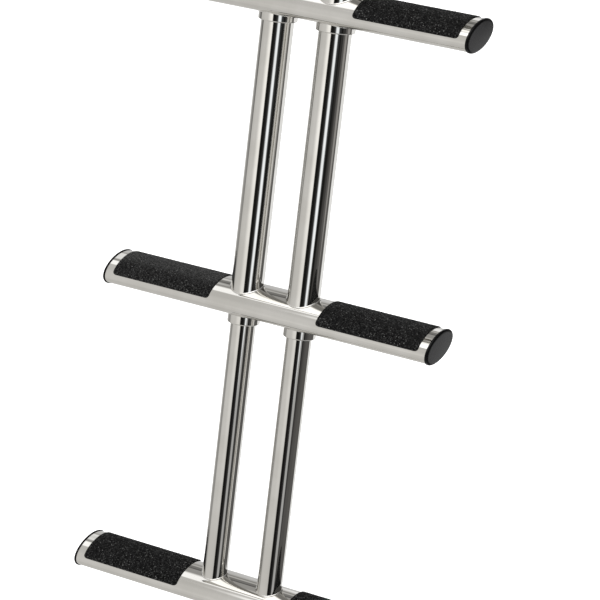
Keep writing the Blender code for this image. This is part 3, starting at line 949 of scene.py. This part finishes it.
def moulded_black(name):
    """Glossy black moulded plastic with a fine, slightly uneven skin."""
    n = Nodes(name)
    cloud = n.noise(n.mapped(), 70.0, 4.0, 0.55)
    colour = n.mix_colour(n.ranged(cloud, 0.35, 0.7, 0.0, 1.0, True),
                          (0.0030, 0.0030, 0.0034), (0.0055, 0.0055, 0.0061))
    n.link(colour, n.bsdf.inputs["Base Color"])
    skin = n.noise(n.mapped(), 900.0, 3.0, 0.6)
    n.link(n.math("ADD", n.ranged(cloud, 0.3, 0.7, 0.16, 0.24),
                  n.ranged(skin, 0.4, 0.7, 0.0, 0.05)),
           n.bsdf.inputs["Roughness"])
    n.bsdf.inputs["Specular IOR Level"].default_value = 0.17
    normal = n.bump(skin, 0.05, 0.00005)
    n.link(normal, n.bsdf.inputs["Normal"])
    return n.mat


def natural_nylon(name):
    """Off-white machined nylon with faint turning lines."""
    n = Nodes(name)
    rings = n.noise(n.mapped((0.2, 0.2, 1.0)), 1400.0, 2.0)
    cloud = n.noise(n.mapped(), 90.0, 4.0)
    colour = n.mix_colour(n.ranged(cloud, 0.35, 0.7, 0.0, 1.0, True),
                          (0.74, 0.725, 0.68), (0.80, 0.79, 0.755))
    n.link(colour, n.bsdf.inputs["Base Color"])
    n.link(n.ranged(rings, 0.35, 0.7, 0.38, 0.55), n.bsdf.inputs["Roughness"])
    n.link(n.bump(rings, 0.2, 0.00005), n.bsdf.inputs["Normal"])
    return n.mat


STEEL_TUBE = polished_steel("polished_steel_tube", "Z")
STEEL_TREAD = polished_steel("polished_steel_tread", "X")
STEEL_PLATE = polished_steel("satin_steel_plate", "X", 3.0, 0.30)
WELD = weld_steel("weld_steel")
# three copies of the pad material with painted light: a faint painted sheen, a strong
# painted sheen for the middle left pad, and painted shade at the back for the lower pads
PAD = grit_pad_material("non_slip_pad", 0.1)
PAD_PAINTED_SHEEN = grit_pad_material("non_slip_pad_worn", 1.9)
PAD_PAINTED_SHADE = grit_pad_material("non_slip_pad_fresh", -0.6)
BLACK = moulded_black("black_plastic")
NYLON = natural_nylon("nylon")


# =================================================================== assembly
def place(piece, body, slot, *nodes):
    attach(piece, body)
    if nodes:
        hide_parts(*nodes)
    return piece


SIDES = (("left", -1), ("right", 1))
TUBE_TOP = TREAD_PITCH + TUBE_ENGAGED

# ---- mounting plate and webs
outline, outline_n = rounded_outline(
    [(PLATE_W / 2, -PLATE_H / 2), (PLATE_W / 2, PLATE_H / 2),
     (-PLATE_W / 2, PLATE_H / 2), (-PLATE_W / 2, -PLATE_H / 2)], [PLATE_CORNER] * 4)


def lift_plate(p, h):
    return np.column_stack([p[:, 0], np.full(len(p), float(h)), p[:, 1]])


plate = slab("mounting_plate_finished", outline, outline_n,
             [((sx * PLATE_HOLE_X, sz * PLATE_HOLE_Z), PLATE_HOLE_R)
              for sx in (-1, 1) for sz in (-1, 1)],
             -PLATE_T, 0.0, 0.7, lift_plate, (0, 1, 0), STEEL_PLATE)
place(plate, "upper_stage", "polished_steel", "mounting_plate")

for side, s in SIDES:
    x0 = s * TUBE_SPACING / 2
    quad = [(-PLATE_T - 0.05, WEB_BOTTOM), (-PLATE_T - 0.05, WEB_TOP),
            (web_front_y(WEB_TOP) + 0.2, WEB_TOP),
            (web_front_y(WEB_BOTTOM) + 0.2, WEB_BOTTOM)]
    web_line, web_n = rounded_outline(quad, [0.8, 0.8, 1.5, 1.5], 15.0)

    def lift_web(p, h, x0=x0):
        return np.column_stack([np.full(len(p), float(h)), p[:, 0], p[:, 1]])

    web = slab("web_%s_finished" % side, web_line, web_n, [], x0 - WEB_T / 2,
               x0 + WEB_T / 2, 0.5, lift_web, (1, 0, 0), STEEL_PLATE)
    place(web, "upper_stage", "polished_steel", "web_" + side)
    for face, f in (("inner", -s), ("outer", s)):
        x = x0 + f * WEB_T / 2
        bead = line_weld("web_%s_plate_weld_%s" % (side, face),
                         (x, -PLATE_T, WEB_BOTTOM + 1), (x, -PLATE_T, WEB_TOP - 1),
                         (f, 0, 0), (0, -1, 0), 3.2, WELD, 31 + s + 2 * f)
        place(bead, "upper_stage", "polished_steel")

# ---- upper stage
for side, s in SIDES:
    c = UPPER_TREAD + np.array([s * TUBE_SPACING / 2, 0, 0])
    piece = tube("upper_tube_%s_finished" % side, c, -UPPER_TUBE_BELOW,
                 UPPER_TUBE_ABOVE, UPPER_R, STEEL_TUBE)
    place(piece, "upper_stage", "polished_steel", "upper_tube_" + side)
    top, r_in = UPPER_TUBE_ABOVE, UPPER_R - TUBE_WALL - GAP
    piece = turned("upper_tube_plug_%s_finished" % side,
                   [(0.0, top - 8.0, 0), (r_in, top - 8.0, 0.5), (r_in, top + 0.1, 0.1),
                    (UPPER_R, top + 0.1, 0.25), (UPPER_R, top + TOP_CAP_FLANGE - 0.4, 1.5),
                    (UPPER_R * 0.45, top + TOP_CAP_FLANGE, 10.0),
                    (0.0, top + TOP_CAP_FLANGE, 0)],
                   BLACK, tube_matrix(c), 96, closed=False)
    place(piece, "upper_stage", "black_plastic", "upper_tube_plug_" + side)


def bush(name, centre, end, outer_r, inner_r):
    low, high = end + BUSH_INSET, TUBE_ENGAGED - RING_INSET - RING_LENGTH - GAP
    r_out, r_in = outer_r - TUBE_WALL - GAP, inner_r + GAP
    return turned(name, [(r_in, low, 0.4), (r_out, low, 0.2), (r_out, high, 0.2),
                         (r_in, high, 0.2)], NYLON, tube_matrix(centre), 96)


def stop_ring(name, centre, outer_r, inner_r):
    top = TUBE_TOP - RING_INSET
    r_out, r_in = outer_r - TUBE_WALL - GAP, inner_r + GAP
    return turned(name, [(r_in, top - RING_LENGTH, 0.2), (r_out, top - RING_LENGTH, 0.3),
                         (r_out, top, 0.3), (r_in, top, 0.2)], NYLON,
                  tube_matrix(centre), 96)


for side, s in SIDES:
    dx = np.array([s * TUBE_SPACING / 2, 0, 0])
    piece = bush("upper_bush_%s_finished" % side, UPPER_TREAD + dx,
                 -UPPER_TUBE_BELOW, UPPER_R, MIDDLE_R)
    place(piece, "upper_stage", "nylon", "upper_bush_" + side)
    piece = tube("middle_tube_%s_finished" % side, MIDDLE_TREAD + dx,
                 -MIDDLE_TUBE_BELOW, TUBE_TOP, MIDDLE_R, STEEL_TUBE)
    place(piece, "middle_stage", "polished_steel", "middle_tube_" + side)
    piece = bush("middle_bush_%s_finished" % side, MIDDLE_TREAD + dx,
                 -MIDDLE_TUBE_BELOW, MIDDLE_R, LOWER_R)
    place(piece, "middle_stage", "nylon", "middle_bush_" + side)
    piece = stop_ring("middle_stop_ring_%s_finished" % side, MIDDLE_TREAD + dx,
                      UPPER_R, MIDDLE_R)
    place(piece, "middle_stage", "nylon", "middle_stop_ring_" + side)
    piece = tube("lower_tube_%s_finished" % side, LOWER_TREAD + dx, 0.0, TUBE_TOP,
                 LOWER_R, STEEL_TUBE)
    place(piece, "lower_stage", "polished_steel", "lower_tube_" + side)
    piece = stop_ring("lower_stop_ring_%s_finished" % side, LOWER_TREAD + dx,
                      MIDDLE_R, LOWER_R)
    place(piece, "lower_stage", "nylon", "lower_stop_ring_" + side)

# ---- treads with their welds, pads and caps
for k, (stage, centre, radius, through) in enumerate((
        ("upper", UPPER_TREAD, UPPER_R, True),
        ("middle", MIDDLE_TREAD, MIDDLE_R, True),
        ("lower", LOWER_TREAD, LOWER_R, False))):
    body = stage + "_stage"
    piece = tread(stage + "_tread_finished", centre, radius, through, STEEL_TREAD)
    place(piece, body, "polished_steel", stage + "_tread")
    for side, s in SIDES:
        piece = saddle_weld("%s_weld_top_%s" % (stage, side), centre,
                            s * TUBE_SPACING / 2, radius, 1, 0.95, WELD, 100 + 10 * k + s)
        place(piece, body, "polished_steel")
        if through:
            piece = saddle_weld("%s_weld_under_%s" % (stage, side), centre,
                                s * TUBE_SPACING / 2, radius, -1, 0.7, WELD,
                                200 + 10 * k + s)
            place(piece, body, "polished_steel")
        # the middle left pad takes the copy with painted sheen, the lower pads the copy with
        # painted shade
        piece = grip_pad("%s_pad_%s_grit" % (stage, side), centre, s,
                         PAD_PAINTED_SHEEN if (k, s) == (1, -1) else (PAD, PAD, PAD_PAINTED_SHADE)[k],
                         300 + 10 * k + s)
        place(piece, body, "non_slip_pad", "%s_pad_%s" % (stage, side))
        piece = end_cap("%s_end_cap_%s_finished" % (stage, side), centre, s, BLACK)
        place(piece, body, "black_plastic", "%s_end_cap_%s" % (stage, side))


# ======================================================== studio and camera
def studio():
    """A light tent as a procedural panorama: pale walls, softboxes, dark flags.

    Each panel is a soft-edged window in azimuth (0 is +X, 90 is +Y) and
    elevation, in degrees.  The eye sees plain white instead.
    """
    world = bpy.data.worlds.new("studio")
    bpy.context.scene.world = world
    world.use_nodes = True
    tree = world.node_tree
    tree.nodes.clear()
    new, link = tree.nodes.new, tree.links.new

    def math_node(op, a, b=None, c=None):
        node = new("ShaderNodeMath")
        node.operation = op
        for i, v in enumerate((a, b, c)):
            if v is None:
                continue
            if isinstance(v, (int, float)):
                node.inputs[i].default_value = v
            else:
                link(v, node.inputs[i])
        return node.outputs[0]

    coord = new("ShaderNodeTexCoord")
    xyz = new("ShaderNodeSeparateXYZ")
    link(coord.outputs["Generated"], xyz.inputs[0])
    az = math_node("ARCTAN2", xyz.outputs[1], xyz.outputs[0])
    el = math_node("ARCSINE", xyz.outputs[2])
    az = math_node("MULTIPLY", az, 180 / math.pi)
    el = math_node("MULTIPLY", el, 180 / math.pi)

    def window(value, lo, hi):
        node = new("ShaderNodeMapRange")
        node.interpolation_type = "SMOOTHSTEP"
        node.inputs["From Min"].default_value = lo
        node.inputs["From Max"].default_value = hi
        link(value, node.inputs["Value"])
        return node.outputs["Result"]

    last = None

    def panel(az0, az1, el0, el1, level, tint=(1, 1, 1), soft=3.0, soft_el=4.0,
              lean=0.0):
        nonlocal last
        centre, half = 0.5 * (az0 + az1), 0.5 * (az1 - az0)
        parts = []
        if half < 180:
            off = math_node("SUBTRACT", az, centre)
            if lean:
                off = math_node("ADD", off, math_node("MULTIPLY", el, lean))
            off = math_node("WRAP", off, 180.0, -180.0)
            off = math_node("ABSOLUTE", off)
            parts.append(window(off, half + soft / 2, half - soft / 2))
        if el0 > -90:
            parts.append(window(el, el0 - soft_el / 2, el0 + soft_el / 2))
        if el1 < 90:
            parts.append(window(el, el1 + soft_el / 2, el1 - soft_el / 2))
        mask = parts[0]
        for p in parts[1:]:
            mask = math_node("MULTIPLY", mask, p)
        mix = new("ShaderNodeMix")
        mix.data_type = "RGBA"
        link(mask, mix.inputs["Factor"])
        if isinstance(last, tuple):
            mix.inputs[6].default_value = (*last, 1.0)
        else:
            link(last, mix.inputs[6])
        mix.inputs[7].default_value = (*(level * t for t in tint), 1.0)
        last = mix.outputs[2]

    warm, cool, dusk = (1.0, 0.985, 0.955), (0.96, 1.0, 1.04), (1.0, 0.97, 0.94)
    white = (1, 1, 1)
    last = tuple(0.60 * t for t in warm)                        # the tent itself
    panel(-150, -96, -30, 62, 0.665, warm, 36, 24)              # paler front
    panel(-110.5, -60, 3, 60, 1.13, warm, 27, 12)               # front light
    # bright straight below
    panel(-180, 180, -90, -66, 1.05, white, 0, 6)
    # black flag in front, right of the light, leaning like the tubes
    panel(-80.3, 24, -60, 44, 0.010, warm, 5, 12, 1)
    panel(-62, -48, -60, 40, 0.030, white, 6, 8, 1)
    panel(-51.5, -38, -60, 0, 0.46, white, 6, 1.2, 1)             # strip light, low
    panel(-50.7, -36.5, -2.8, 40, 1.16, cool, 9, 0.8, 1)       # strip light
    panel(-34, 24, -60, -8, 0.062, dusk, 8, 3, 1)
    panel(-36, 24, -60, -13, 0.10, dusk, 6, 4, 1)
    panel(-37, -27.5, -2.8, 40, 0.038, cool, 6, 0.8, 1)
    panel(-11, 24, -60, -8, 0.115, dusk, 3, 4, 1)
    panel(-1, 12, -20.3, -8, 0.34, dusk, 6, 3, 1)               # dim light, right
    # back: white below the horizon, darker above it
    panel(22, 62, -46, -8, 0.96, white, 5, 16, 1)
    panel(70, 154, -44, -8, 0.90, white, 8, 16)
    panel(60.5, 90, -23.4, -6, 0.10, white, 2, 2)
    panel(-16, 84, -6, 31, 0.07, warm, 14, 8)
    panel(96, 158, -10, 15, 0.60, white, 10, 6)
    panel(96, 156, 15, 26, 0.42, warm, 10, 5)
    panel(96, 156, 26, 37, 0.22, warm, 10, 4)
    panel(96, 156, 19, 21.5, 0.25, warm, 10, 1.5)
    panel(96, 156, 23, 26, 0.55, warm, 10, 1.5)
    panel(96, 156, 33, 35.5, 0.12, warm, 10, 2)
    panel(96, 156, 37, 47, 0.36, warm, 10, 3)
    panel(-20, 96, 33, 62, 0.26, warm, 16, 10)
    panel(111.6, 152, 20, 41, 0.95, white, 2, 4, -0.45)
    panel(92, 117.0, 3, 19.5, 0.98, white, 1.5, 3)
    # dark edge at the back left
    panel(150, 192, -30, -9.5, 0.33, warm, 14, 3, 1)
    panel(166, 186.5, -9.5, 20, 0.12, warm, 12, 3, 1)
    # overhead light
    panel(136, 158, 47, 64, 1.25, white, 6, 3)
    panel(-180, 180, 63, 90, 1.85, white, 0, 2.5)
    panel(-40, 110, 60, 90, 1.85, white, 30, 14)

    background = new("ShaderNodeBackground")
    link(last, background.inputs["Color"])
    plain = new("ShaderNodeBackground")
    plain.inputs["Color"].default_value = (1, 1, 1, 1)
    path = new("ShaderNodeLightPath")
    mix = new("ShaderNodeMixShader")
    link(path.outputs["Is Camera Ray"], mix.inputs["Fac"])
    link(background.outputs[0], mix.inputs[1])
    link(plain.outputs[0], mix.inputs[2])
    out = new("ShaderNodeOutputWorld")
    link(mix.outputs[0], out.inputs["Surface"])


studio()

# pale floor well below the lowest tread
bpy.ops.mesh.primitive_plane_add(size=80.0, location=(0.0, 0.0, -4.0))
floor = bpy.context.active_object
floor.name = "floor"
floor.visible_glossy = False
floor_mat = bpy.data.materials.new("pale_floor")
floor_mat.use_nodes = True
tree = floor_mat.node_tree
bsdf = tree.nodes["Principled BSDF"]
bsdf.inputs["Base Color"].default_value = (0.9, 0.9, 0.9, 1.0)
bsdf.inputs["Roughness"].default_value = 0.9
bsdf.inputs["Specular IOR Level"].default_value = 0.0
bsdf.inputs["Emission Color"].default_value = (1, 1, 1, 1)
bsdf.inputs["Emission Strength"].default_value = 0.9
floor.data.materials.append(floor_mat)

# camera at the photograph's viewing angle
cam_data = bpy.data.cameras.new("camera")
cam = bpy.data.objects.new("camera", cam_data)
bpy.context.scene.collection.objects.link(cam)
cam_data.sensor_width = 36.0
cam_data.lens = 176.6724
cam_data.clip_start, cam_data.clip_end = 0.05, 200.0
right = Vector((0.85878621, 0.51066847, -0.0412791))
upward = Vector((-0.21583797, 0.43368819, 0.87483057))
ahead = Vector((-0.46465064, 0.74238283, -0.48266708))
cam.matrix_world = (Matrix.Translation((1.33783978, -2.30518533, 0.90967011))
                    @ Matrix((right, upward, -ahead)).transposed().to_4x4())
bpy.context.scene.camera = cam

view = bpy.context.scene.view_settings
view.view_transform = "Standard"
view.look = "None"
view.exposure = 0.0
view.gamma = 1.0
